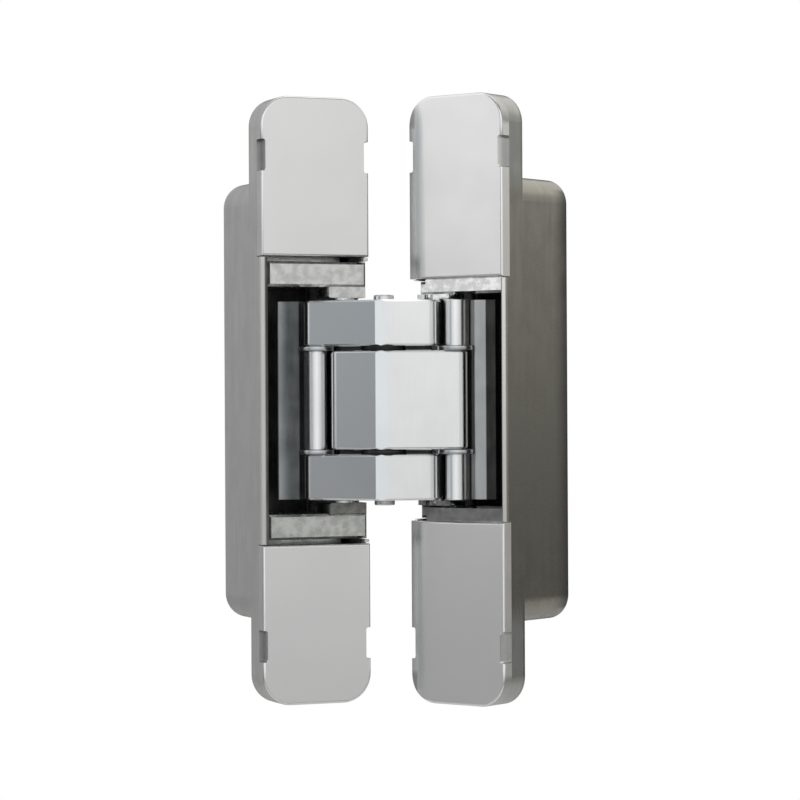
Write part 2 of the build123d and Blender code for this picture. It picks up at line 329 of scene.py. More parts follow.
@dataclass(frozen=True)
class Look:
    """What a metal's shader is fed with.

    Attributes:
        colour: The metal's colour.
        roughness: Its roughness.
        height_mm: Height of its grain.
    """

    colour: Socket
    roughness: Signal
    height_mm: Signal

    def under(self, other: Look, share: Signal, graph: Graph) -> Look:
        """This look with another one laid over a share of it, from 0 to 1."""
        colour = graph.mix(share, self.colour, other.colour)
        roughness = self.roughness + (other.roughness - self.roughness) * share
        height_mm = self.height_mm + (other.height_mm - self.height_mm) * share
        return Look(colour, roughness, height_mm)

    def shade(self, graph: Graph) -> None:
        """Ends the graph in a metal shader with this look."""
        bump = graph.add("ShaderNodeBump", {"Height": self.height_mm, "Distance": MM, "Strength": 1.0})
        bsdf = graph.add(
            "ShaderNodeBsdfPrincipled",
            {
                "Base Color": self.colour,
                "Metallic": 1.0,
                "Roughness": self.roughness,
                "Normal": bump.outputs["Normal"],
            },
        )
        graph.add("ShaderNodeOutputMaterial", {"Surface": bsdf.outputs["BSDF"]})


@dataclass(frozen=True)
class Slice:
    """The part of a piece between two distances along a line.

    Attributes:
        way: The line's direction.
        origin: Where distances start, as a length along the line.
        start_mm: Where the slice starts.
        end_mm: Where it ends.
        soft_mm: Half the width of its edges.
    """

    way: Vector
    origin: float
    start_mm: float
    end_mm: float
    soft_mm: float

    def mask(self, graph: Graph) -> Signal:
        """One in the slice, zero outside."""
        inputs = {0: graph.position(), 1: self.way}
        along = graph.add("ShaderNodeVectorMath", inputs, operation="DOT_PRODUCT")
        reach = (graph.out(along, "Value") - self.origin) * (1.0 / MM)
        begun = reach.smooth(self.start_mm - self.soft_mm, self.start_mm + self.soft_mm)
        return begun * (1.0 - reach.smooth(self.end_mm - self.soft_mm, self.end_mm + self.soft_mm))


@dataclass(frozen=True)
class Overlap:
    """Where slices of a piece cross each other.

    Attributes:
        slices: The slices.
    """

    slices: tuple[Slice, ...]

    def mask(self, graph: Graph) -> Signal:
        """One where all slices are, zero elsewhere."""
        first, *others = (part.mask(graph) for part in self.slices)
        for other in others:
            first = first * other
        return first


@dataclass(frozen=True)
class AroundPin:
    """The part of a lever around one of its pins.

    Attributes:
        axis: A point on the pin's axis, which stands upright.
        radius_mm: How far the part reaches.
        soft_mm: Width of its edge.
    """

    axis: Vector
    radius_mm: float = 2.7
    soft_mm: float = 0.1

    def mask(self, graph: Graph) -> Signal:
        """One around the pin, zero away from it."""
        parts = graph.add("ShaderNodeSeparateXYZ", {0: graph.position()})
        east = (graph.out(parts, 0) - self.axis.x) * (1.0 / MM)
        north = (graph.out(parts, 1) - self.axis.y) * (1.0 / MM)
        squared = east * east + north * north
        near, far = self.radius_mm - self.soft_mm, self.radius_mm + self.soft_mm
        return 1.0 - squared.smooth(near**2, far**2)


Zone = Slice | Overlap | AroundPin


@dataclass(frozen=True)
class ZonedFinish:
    """A finish with others on zones of the piece.

    Attributes:
        label: The material's name.
        base: The finish of the piece.
        accents: The zones with their finishes, later ones over earlier ones.
    """

    label: str
    base: Finish
    accents: tuple[tuple[Zone, Finish], ...]

    @property
    def slot(self) -> str:
        """The record's material slot."""
        return self.base.slot

    def material(self) -> bpy.types.Material:
        """Builds the material."""
        material, graph = new_material(self.label)
        look = self.base.look(graph)
        for zone, finish in self.accents:
            look = look.under(finish.look(graph), zone.mask(graph), graph)
        look.shade(graph)
        return material


AnyFinish = Finish | ZonedFinish

# Label, slot, dark and light patches, roughness and its swing, grain and the grain's relief
COVER = Finish(
    "satin_cover", "cover", (0.865, 0.865, 0.86), (0.88, 0.88, 0.875), 0.24, 0.01, Grain.BLASTED, 0.003
)
# The covers' sides carry painted light and shade: darker on the frame half, a painted highlight on the door
# half, and darker again at the door covers' ends.
FRAME_COVER_EDGE_SHADE = Finish(
    "frame_cover_edge_painted_shade", "cover", (0.40, 0.40, 0.395), (0.46, 0.46, 0.455), 0.30, 0.03, Grain.BRUSHED, 0.002
)
DOOR_COVER_EDGE_LIGHT = Finish(
    "door_cover_edge_painted_light", "cover", (0.91, 0.905, 0.88), (0.94, 0.935, 0.91), 0.33, 0.03, Grain.BRUSHED, 0.002
)
DOOR_COVER_END_SHADE = Finish(
    "door_cover_end_painted_shade", "cover", (0.46, 0.455, 0.44), (0.54, 0.535, 0.52), 0.36, 0.04, Grain.BRUSHED, 0.002
)
# The two castings are lit and shaded copies of one zinc: the door half's darker olive is painted shade.
FRAME_CASTING = Finish(
    "frame_casting", "housing", (0.375, 0.375, 0.373), (0.40, 0.40, 0.398), 0.38, 0.03, Grain.DIE_CAST, 0.008
)
DOOR_CASTING_SHADE = Finish(
    "door_casting_painted_shade", "housing", (0.292, 0.284, 0.248), (0.322, 0.314, 0.28), 0.26, 0.03, Grain.DIE_CAST, 0.008
)
# Painted light: the flange's sides are lighter towards both ends of the housing.
FLANGE_END_LIGHT = Finish(
    "flange_end_painted_light", "housing", (0.40, 0.405, 0.395), (0.44, 0.445, 0.435), 0.33, 0.04, Grain.DIE_CAST, 0.006
)
# Painted shade: the pocket is near-black where shade falls inside it.
POCKET_SHADE = Finish(
    "pocket_painted_shade", "housing", (0.12, 0.12, 0.115), (0.18, 0.18, 0.175), 0.50, 0.05, Grain.DIE_CAST, 0.01
)
# Painted shade: the housing's back edges are darkened where they turn away from the light.
BACK_EDGE_SHADE = Finish(
    "back_edge_painted_shade", "housing", (0.085, 0.084, 0.078), (0.118, 0.116, 0.109), 0.36, 0.04, Grain.DIE_CAST, 0.01
)
# Painted highlight on the rim beside the pocket, brighter and cream on the door half.
FRAME_RIM_HIGHLIGHT = Finish(
    "frame_rim_painted_highlight", "housing", (0.72, 0.715, 0.70), (0.76, 0.755, 0.74), 0.28, 0.02, Grain.BLASTED, 0.003
)
DOOR_RIM_HIGHLIGHT = Finish(
    "door_rim_painted_highlight", "housing", (0.93, 0.925, 0.89), (0.95, 0.945, 0.91), 0.22, 0.02, Grain.BLASTED, 0.003
)
# Lit and shaded copies of one cast block: painted light on the upper blocks, painted shade on the lower
# blocks and on the frame's lower collar.
FRAME_UPPER_BLOCK_LIT = Finish(
    "frame_upper_block", "block", (0.62, 0.625, 0.612), (0.77, 0.775, 0.762),
    0.25, 0.03, Grain.ROUGH_CAST, 0.025,
)
FRAME_LOWER_BLOCK_SHADE = Finish(
    "frame_lower_block", "block", (0.52, 0.532, 0.50), (0.67, 0.682, 0.65),
    0.26, 0.03, Grain.ROUGH_CAST, 0.025,
)
FRAME_LOWER_COLLAR_SHADE = Finish(
    "frame_lower_collar_painted_shade", "block", (0.20, 0.205, 0.19), (0.28, 0.285, 0.265),
    0.3, 0.03, Grain.ROUGH_CAST, 0.02,
)
DOOR_UPPER_BLOCK_LIT = Finish(
    "door_upper_block", "block", (0.72, 0.725, 0.72), (0.90, 0.905, 0.90),
    0.13, 0.03, Grain.ROUGH_CAST, 0.008,
)
DOOR_LOWER_BLOCK_SHADE = Finish(
    "door_lower_block", "block", (0.26, 0.262, 0.26), (0.42, 0.422, 0.42),
    0.16, 0.04, Grain.ROUGH_CAST, 0.008,
)
ARM = Finish(
    "plated_arm", "arm", (0.835, 0.84, 0.845), (0.855, 0.86, 0.865), 0.20, 0.02, Grain.BRUSHED, 0.0015
)
# Painted shade: the outer arms' pads are near-black in the slot between the arms.
PAD_SHADE = Finish(
    "pad_painted_shade", "arm", (0.03, 0.03, 0.03), (0.05, 0.05, 0.05), 0.45, 0.05, Grain.BLASTED, 0.002
)
# Lit and shaded copies of one lever finish: painted shade on the heels, deeper in their dark slices, and
# painted light on the knuckles.
FRAME_HEEL_SHADE = Finish(
    "frame_heel_painted_shade", "lever", (0.40, 0.415, 0.41), (0.47, 0.485, 0.48), 0.42, 0.03, Grain.DIE_CAST, 0.003
)
DOOR_HEEL_SHADE = Finish(
    "door_heel_painted_shade", "lever", (0.50, 0.505, 0.50), (0.55, 0.555, 0.55), 0.42, 0.03, Grain.DIE_CAST, 0.003
)
HEEL_DEEP_SHADE = Finish(
    "heel_deep_painted_shade", "lever", (0.09, 0.098, 0.10), (0.14, 0.15, 0.15), 0.45, 0.04, Grain.DIE_CAST, 0.004
)
HEEL_BLACK_SHADE = Finish(
    "heel_black_painted_shade", "lever", (0.04, 0.04, 0.038), (0.07, 0.07, 0.066), 0.45, 0.04, Grain.DIE_CAST, 0.004
)
KNUCKLE_LIGHT = Finish(
    "knuckle_painted_light", "lever", (0.93, 0.935, 0.935), (0.95, 0.955, 0.955), 0.30, 0.02, Grain.BRUSHED, 0.0015
)
PIN = Finish(
    "turned_pin", "pin", (0.66, 0.67, 0.66), (0.76, 0.77, 0.76), 0.24, 0.03, Grain.TURNED, 0.001
)
DARK_WASHER = Finish(
    "dark_washer", "washer", (0.03, 0.03, 0.03), (0.06, 0.06, 0.06), 0.40, 0.04, Grain.TURNED, 0.001
)
WASHER = Finish(
    "plain_washer", "washer", (0.55, 0.57, 0.58), (0.66, 0.68, 0.69), 0.30, 0.04, Grain.TURNED, 0.001
)
SCREW = Finish(
    "zinc_screw", "screw", (0.55, 0.56, 0.57), (0.66, 0.67, 0.68), 0.34, 0.05, Grain.BLASTED, 0.002
)


@dataclass(frozen=True)
class Paint:
    """Finishes that have been made into materials, one for each."""

    made: dict[str, bpy.types.Material]

    def of(self, finish: AnyFinish) -> bpy.types.Material:
        """The material of a finish, made when it is first asked for."""
        if finish.label not in self.made:
            self.made[finish.label] = finish.material()
        return self.made[finish.label]

    def coat(self, piece: Piece, finish: AnyFinish) -> None:
        """Gives a piece its finish."""
        piece.data.materials.clear()
        piece.data.materials.append(self.of(finish))
        finish.slot


@dataclass(frozen=True)
class EasedEdge:
    """The small rounding that a cast or plated edge has.

    Attributes:
        width_mm: Width of the rounding.
        steps: Facets across it.
        sharpest_deg: Edges that turn by more than this are eased.
        flat_deg: Faces that turn by less than this are one flat face.
        face_weight: How far large faces rule the normals, where 50 is even.
    """

    width_mm: float
    steps: int = 3
    sharpest_deg: float = 32.0
    flat_deg: float = 0.6
    face_weight: int = 60

    def apply(self, piece: Piece) -> None:
        """Adds the modifiers that round the piece's edges."""
        weld = piece.modifiers.new("weld", "WELD")
        weld.merge_threshold = WELD_MM * MM
        flat = piece.modifiers.new("flat_faces", "DECIMATE")
        flat.decimate_type = "DISSOLVE"
        flat.angle_limit = math.radians(self.flat_deg)
        bevel = piece.modifiers.new("eased_edges", "BEVEL")
        bevel.width = self.width_mm * MM
        bevel.segments = self.steps
        bevel.limit_method = "ANGLE"
        bevel.angle_limit = math.radians(self.sharpest_deg)
        bevel.miter_outer = "MITER_ARC"
        normals = piece.modifiers.new("face_normals", "WEIGHTED_NORMAL")
        normals.weight = self.face_weight
        normals.keep_sharp = True


class Lathe:
    """Geometry node trees that turn pins and pairs of washers or collars."""

    ROUND_STEPS = 6
    RIM_STEPS = 3
    AROUND = 72
    CREASE_DEG = 40.0

    def __init__(self) -> None:
        """Builds both trees."""
        self.pin_tree = self._build_pin_tree()
        self.washer_tree = self._build_washer_tree()

    @staticmethod
    def _new_tree(name: str, sizes: tuple[str, ...]) -> tuple[bpy.types.NodeTree, Graph, bpy.types.Node]:
        """Starts a tree that takes sizes and a place.

        Args:
            name: The tree's name.
            sizes: Names of its sizes.

        Returns:
            The tree, its graph and its input node.
        """
        tree = bpy.data.node_groups.new(name, "GeometryNodeTree")
        tree.is_modifier = True
        inputs = dict.fromkeys(sizes, "NodeSocketFloat")
        inputs["Place"] = "NodeSocketVector"
        for label, kind in inputs.items():
            tree.interface.new_socket(label, in_out="INPUT", socket_type=kind)
        tree.interface.new_socket("Geometry", in_out="OUTPUT", socket_type="NodeSocketGeometry")
        graph = Graph(tree)
        return tree, graph, graph.add("NodeGroupInput")

    @staticmethod
    def _lift(graph: Graph, group: bpy.types.Node, mesh: Socket, level: Signal) -> Socket:
        """Puts the points of a mesh over the tree's place, each at its level."""
        lift = graph.add("ShaderNodeCombineXYZ", {"Z": level})
        inputs = {0: group.outputs["Place"], 1: lift.outputs[0]}
        place = graph.add("ShaderNodeVectorMath", inputs, operation="ADD")
        inputs = {"Geometry": mesh, "Position": place.outputs[0]}
        return graph.add("GeometryNodeSetPosition", inputs).outputs["Geometry"]

    @staticmethod
    def _end_tree(graph: Graph, geometry: Socket) -> None:
        """Realizes what the tree made."""
        real = graph.add("GeometryNodeRealizeInstances", {"Geometry": geometry})
        graph.add("NodeGroupOutput", {"Geometry": real.outputs["Geometry"]})

    def _build_pin_tree(self) -> bpy.types.NodeTree:
        """A pin along Z with rounded ends, as a line whose thickness follows the rounding."""
        floats = ("Radius", "Bottom", "Top", "Edge")
        tree, graph, group = self._new_tree("turned_pin", floats)
        radius, bottom, top, edge = (graph.out(group, label) for label in floats)
        last = 2 * self.ROUND_STEPS - 1
        index = graph.out(graph.add("GeometryNodeInputIndex"))
        from_end = index.at_most(last - index)
        phase = from_end * (math.pi / 2 / (self.ROUND_STEPS - 1))
        inset = edge * (1.0 - phase.math("COSINE", phase))
        thickness = radius - edge + edge * phase.math("SINE", phase)
        upper = index.math("GREATER_THAN", index, self.ROUND_STEPS - 0.5)
        level = (bottom + inset) * (1.0 - upper) + (top - inset) * upper
        line = graph.add("GeometryNodeMeshLine", {"Count": last + 1})
        moved = self._lift(graph, group, line.outputs["Mesh"], level)
        curve = graph.add("GeometryNodeMeshToCurve", {"Mesh": moved})
        ring = graph.add("GeometryNodeCurvePrimitiveCircle", {"Resolution": self.AROUND, "Radius": 1.0})
        skin = graph.add(
            "GeometryNodeCurveToMesh",
            {
                "Curve": curve.outputs["Curve"],
                "Profile Curve": ring.outputs["Curve"],
                "Scale": thickness,
                "Fill Caps": True,
            },
        )
        self._end_tree(graph, skin.outputs["Mesh"])
        return tree

    def _build_washer_tree(self) -> bpy.types.NodeTree:
        """Two washers at equal heights above and below the middle, with eased rims."""
        floats = ("Radius", "Bore", "Thickness", "Level", "Edge")
        tree, graph, group = self._new_tree("washer_pair", floats)
        radius, bore, thickness, level, edge = (graph.out(group, label) for label in floats)
        path = graph.add(
            "GeometryNodeCurvePrimitiveCircle", {"Resolution": self.AROUND, "Radius": (radius + bore) * 0.5}
        )
        inputs = {"Width": radius - bore, "Height": thickness}
        section = graph.add("GeometryNodeCurvePrimitiveQuadrilateral", inputs)
        eased = graph.add(
            "GeometryNodeFilletCurve",
            {"Curve": section.outputs["Curve"], "Count": self.RIM_STEPS, "Radius": edge},
            mode="POLY",
        )
        ring = graph.add(
            "GeometryNodeCurveToMesh",
            {"Curve": path.outputs["Curve"], "Profile Curve": eased.outputs["Curve"]},
        )
        side = graph.out(graph.add("GeometryNodeInputIndex")) * 2.0 - 1.0
        points = graph.add("GeometryNodeMeshLine", {"Count": len(ENDS)})
        moved = self._lift(graph, group, points.outputs["Mesh"], side * level)
        inputs = {"Points": moved, "Instance": ring.outputs["Mesh"]}
        pair = graph.add("GeometryNodeInstanceOnPoints", inputs)
        self._end_tree(graph, pair.outputs["Instances"])
        return tree

    @classmethod
    def turn(cls, name: str, tree: bpy.types.NodeTree, sizes: dict[str, Any]) -> Piece:
        """Runs a tree once and keeps its result as a plain mesh.

        Args:
            name: Name of the new piece.
            tree: The tree to run.
            sizes: Values of its inputs by name.

        Returns:
            The new piece, in place and without modifiers.
        """
        blank = add_object(name + "_blank", bpy.data.meshes.new(name + "_blank"))
        modifier = blank.modifiers.new("lathe", "NODES")
        modifier.node_group = tree
        for item in tree.interface.items_tree:
            if item.in_out == "INPUT":
                modifier[item.identifier] = sizes[item.name]
        bpy.context.view_layer.update()
        depsgraph = bpy.context.evaluated_depsgraph_get()
        mesh = bpy.data.meshes.new_from_object(blank.evaluated_get(depsgraph), depsgraph=depsgraph)
        mesh.name = name
        mesh.shade_smooth()
        mesh.set_sharp_from_angle(angle=math.radians(cls.CREASE_DEG))
        bpy.data.objects.remove(blank)
        return add_object(name, mesh)


def plane_off(mesh: bpy.types.Mesh, point: Vector, facing: Vector) -> None:
    """Cuts off what a mesh has beyond a plane, and closes the cut.

    Args:
        mesh: The mesh to cut.
        point: A point of the plane.
        facing: The way that the plane faces.
    """
    form = bmesh.new()
    form.from_mesh(mesh)
    bmesh.ops.remove_doubles(form, verts=form.verts, dist=WELD_MM * MM)
    everything = [*form.verts, *form.edges, *form.faces]
    cut = bmesh.ops.bisect_plane(form, geom=everything, plane_co=point, plane_no=facing, clear_outer=True)
    rim = [part for part in cut["geom_cut"] if isinstance(part, bmesh.types.BMEdge)]
    bmesh.ops.holes_fill(form, edges=rim, sides=0)
    bmesh.ops.recalc_face_normals(form, faces=form.faces)
    form.to_mesh(mesh)
    form.free()


@dataclass(frozen=True)
class HalfLook:
    """Finishes of one half's castings.

    Attributes:
        cover_edge: Finish of the covers' long sides, painted shade on the frame half and a painted highlight
            on the door half.
        cover_end: Finish of the sides around their rounded ends, painted shade on both halves.
        casting: Finish of the housing, the door half's darker olive copy being painted shade.
        rim: Painted highlight on the rim beside the pocket.
        blocks: Finishes of the upper and the lower block, painted light on the upper and painted shade on
            the lower.
        lower_collar: Finish of the lower block's collar, painted shade.
        rim_depth_mm: How deep the rim's painted highlight reaches behind the covers' faces.
        rim_mm: From the pocket's middle to where the rim's painted highlight starts and ends.
        back_fade_mm: Half the length over which the painted shade on the back fades into the walls.
        collar_mm: From mid height to where the collars around the pivot start and end.
    """

    cover_edge: Finish
    cover_end: Finish
    casting: Finish
    rim: Finish
    blocks: tuple[Finish, Finish]
    lower_collar: Finish
    rim_depth_mm: float
    rim_mm: tuple[float, float]
    back_fade_mm: float
    collar_mm: tuple[float, float]


FRAME_LOOK = HalfLook(
    cover_edge=FRAME_COVER_EDGE_SHADE,
    cover_end=FRAME_COVER_EDGE_SHADE,
    casting=FRAME_CASTING,
    rim=FRAME_RIM_HIGHLIGHT,
    blocks=(FRAME_UPPER_BLOCK_LIT, FRAME_LOWER_BLOCK_SHADE),
    lower_collar=FRAME_LOWER_COLLAR_SHADE,
    rim_depth_mm=1.25,
    rim_mm=(10.45, 11.35),
    back_fade_mm=0.35,
    collar_mm=(20.4, 22.55),
)
DOOR_LOOK = HalfLook(
    cover_edge=DOOR_COVER_EDGE_LIGHT,
    cover_end=DOOR_COVER_END_SHADE,
    casting=DOOR_CASTING_SHADE,
    rim=DOOR_RIM_HIGHLIGHT,
    blocks=(DOOR_UPPER_BLOCK_LIT, DOOR_LOWER_BLOCK_SHADE),
    lower_collar=DOOR_LOWER_BLOCK_SHADE,
    rim_depth_mm=2.1,
    rim_mm=(10.0, 10.9),
    back_fade_mm=2.9,
    collar_mm=(20.0, 20.95),
)


@dataclass
class Half:
    """One half of the hinge: housing, covers, and blocks with their screws and collars.

    Attributes:
        prefix: The half's name in the nodes' names.
        facing_deg: Azimuth that its visible face looks to.
        look: Finishes of its castings.
        paint: The finishes.
        housing_edge: Rounding of the housing's edges.
        cover_edge: Rounding of the covers' edges.
        block_edge: Rounding of the blocks' edges.
        cover_face_mm: How deep the satin of a cover's face reaches.
        cover_face_soft_mm: Softness of its edge.
        cover_end_mm: From mid height to where the covers' rounded ends begin.
        cover_end_soft_mm: Softness of that edge.
        flange_depth_mm: How deep the flange reaches behind the covers' faces.
        flange_soft_mm: Softness of the flange's edges.
        painted_edge_soft_mm: Softness of the edge of the rim's painted highlight, and of the painted shade
            between the collars.
        pocket_soft_mm: Softness of the pocket's edges.
        bright_from_mm: From mid height to where the flange's sides carry painted light.
        bright_fade_mm: Half the length over which that painted light fades.
        back_edge_mm: From the housing's middle to where its back rounds into the sides.
        back_edge_fade_mm: Half the length over which the painted shade on the back edges fades.
        floor_mm: Thickness of the pocket's floor.
        pocket_half_height_mm: From mid height to where the casting's corners begin.
        collar_radius_mm: Radius of the collars around the pivot.
        collar_edge_mm: Rounding of their rims.
        collar_inset_mm: How far they stop behind the blocks' faces.
        collar_play_mm: How far they stop before the blocks' ends.
    """

    prefix: str
    facing_deg: float
    look: HalfLook
    paint: Paint
    housing_edge: EasedEdge = EasedEdge(0.45)
    cover_edge: EasedEdge = EasedEdge(0.12)
    block_edge: EasedEdge = EasedEdge(0.25)
    cover_face_mm: float = 0.2
    cover_face_soft_mm: float = 0.05
    cover_end_mm: float = 54.0
    cover_end_soft_mm: float = 0.8
    flange_depth_mm: float = 6.4
    flange_soft_mm: float = 0.15
    painted_edge_soft_mm: float = 0.1
    pocket_soft_mm: float = 0.2
    bright_from_mm: float = 42.0
    bright_fade_mm: float = 4.0
    back_edge_mm: float = 10.6
    back_edge_fade_mm: float = 0.3
    floor_mm: float = 1.8
    pocket_half_height_mm: float = 38.5
    collar_radius_mm: float = 5.4
    collar_edge_mm: float = 0.25
    collar_inset_mm: float = 0.3
    collar_play_mm: float = 0.05

    def dress(self, nodes: Nodes) -> None:
        """Eases the edges of the half's castings and gives them their finishes."""
        inward, across = -direction(self.facing_deg), direction(self.facing_deg + QUARTER_DEG)
        upper_cover = nodes[f"{self.prefix}_upper_cover"].data
        face = min(vertex.co.dot(inward) for vertex in upper_cover.vertices)
        # The covers' sides carry painted shade on the frame half and a painted highlight on the door half,
        # with painted shade at the ends.
        side_band = Slice(inward, face, self.cover_face_mm, BEYOND_MM, self.cover_face_soft_mm)
        edges = [(side_band, self.look.cover_edge)]
        for up in (UP, -UP):
            tip = Slice(up, 0.0, self.cover_end_mm, BEYOND_MM, self.cover_end_soft_mm)
            edges.append((Overlap((side_band, tip)), self.look.cover_end))
        cover = ZonedFinish(f"{self.prefix}_cover_satin_painted_edges", COVER, tuple(edges))
        housing = nodes[f"{self.prefix}_housing"]
        zones = self._zones(housing.data, inward, across, face)
        # The door half's darker casting is painted shade.
        zinc = ZonedFinish(f"{self.prefix}_housing_zinc", self.look.casting, zones)
        self._dress_one(housing, zinc, self.housing_edge)
        # Painted light on the upper blocks, painted shade on the lower ones.
        for end, block in zip(ENDS, self.look.blocks):
            self._dress_one(nodes[f"{self.prefix}_{end}_cover"], cover, self.cover_edge)
            self._dress_one(nodes[f"{self.prefix}_{end}_block"], block, self.block_edge)
            self.paint.coat(nodes[f"{self.prefix}_{end}_block_screw"], SCREW)

    def _zones(
        self, housing: bpy.types.Mesh, inward: Vector, across: Vector, face: float
    ) -> tuple[tuple[Zone, Finish], ...]:
        """The housing's painted shade on the back edges and in the pocket, and its painted light on the
        flange's ends and the rim.

        Args:
            housing: The housing's mesh.
            inward: The way into its pocket.
            across: The way across its face.
            face: Distance of the covers' faces along the way inward.

        Returns:
            The zones with their finishes.
        """
        look = self.look
        sides = [vertex.co.dot(across) for vertex in housing.vertices]
        middle = (min(sides) + max(sides)) / 2
        end = max(vertex.co.dot(inward) for vertex in housing.vertices)
        back = Slice(inward, end, -look.back_fade_mm, BEYOND_MM, look.back_fade_mm)
        flange = Slice(inward, face, look.rim_depth_mm, self.flange_depth_mm, self.flange_soft_mm)
        # Painted highlight on the rim beside the pocket.
        front = Slice(inward, face, -BEYOND_MM, look.rim_depth_mm, self.painted_edge_soft_mm)
        inner, outer = look.rim_mm
        soft, height = self.pocket_soft_mm, self.pocket_half_height_mm
        rim = Overlap((front, Slice(across, middle, -outer, outer, soft)))
        # Painted shade inside the pocket.
        pocket = Overlap(
            (
                Slice(across, middle, -inner, inner, soft),
                Slice(UP, 0.0, -height, height, soft),
                Slice(inward, end, -BEYOND_MM, -self.floor_mm / 2, soft),
            )
        )
        # Painted shade on the back edges.
        zones: list[tuple[Zone, Finish]] = []
        for way, origin in ((across, middle), (-across, -middle)):
            edge = Slice(way, origin, self.back_edge_mm, BEYOND_MM, self.back_edge_fade_mm)
            zones.append((Overlap((back, edge)), BACK_EDGE_SHADE))
        # Painted light on the flange's sides towards both ends.
        for up in (UP, -UP):
            bright_end = Slice(up, 0.0, self.bright_from_mm, BEYOND_MM, self.bright_fade_mm)
            zones.append((Overlap((flange, bright_end)), FLANGE_END_LIGHT))
        return *zones, (rim, look.rim), (pocket, POCKET_SHADE)

    def add_collars(self, nodes: Nodes, lathe: Lathe) -> None:
        """Adds the collars of the blocks around the arms' pivot, planed off where the blocks end."""
        block = nodes[f"{self.prefix}_upper_block"]
        low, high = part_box(f"{self.prefix}_pivot_pin")
        axis = (low + high) / 2
        start_mm, end_mm = self.look.collar_mm
        # Painted shade on the lower collar.
        lower = Slice(-UP, 0.0, 0.0, BEYOND_MM, self.painted_edge_soft_mm)
        zones = ((lower, self.look.lower_collar),)
        finish = ZonedFinish(f"{self.prefix}_collar_zinc", self.look.blocks[0], zones)
        sizes = {
            "Radius": self.collar_radius_mm * MM,
            "Bore": (high.x - low.x) / 2,
            "Thickness": (end_mm - start_mm) * MM,
            "Level": (start_mm + end_mm) / 2 * MM,
            "Edge": self.collar_edge_mm * MM,
            "Place": (axis.x, axis.y, 0.0),
        }
        collars = lathe.turn(f"{self.prefix}_pivot_collars", lathe.washer_tree, sizes)
        forward, across = direction(self.facing_deg), direction(self.facing_deg + QUARTER_DEG)
        past = self._reach(block, across) - axis.dot(across)
        aside = across if past < self.collar_radius_mm * MM else -across
        for way, inset_mm in ((forward, self.collar_inset_mm), (aside, self.collar_play_mm)):
            plane_off(collars.data, way * (self._reach(block, way) - inset_mm * MM), way)
        collars.data.set_sharp_from_angle(angle=math.radians(lathe.CREASE_DEG))
        self.paint.coat(collars, finish)
        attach(collars, block["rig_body"])
        LOG.info("added %s", collars.name)

    @staticmethod
    def _reach(piece: Piece, way: Vector) -> float:
        """How far a piece reaches along a way."""
        return max(vertex.co.dot(way) for vertex in piece.data.vertices)

    def _dress_one(self, piece: Piece, finish: AnyFinish, edge: EasedEdge) -> None:
        """Finishes one casting."""
        edge.apply(piece)
        self.paint.coat(piece, finish)
        LOG.info("dressed %s", piece.name)


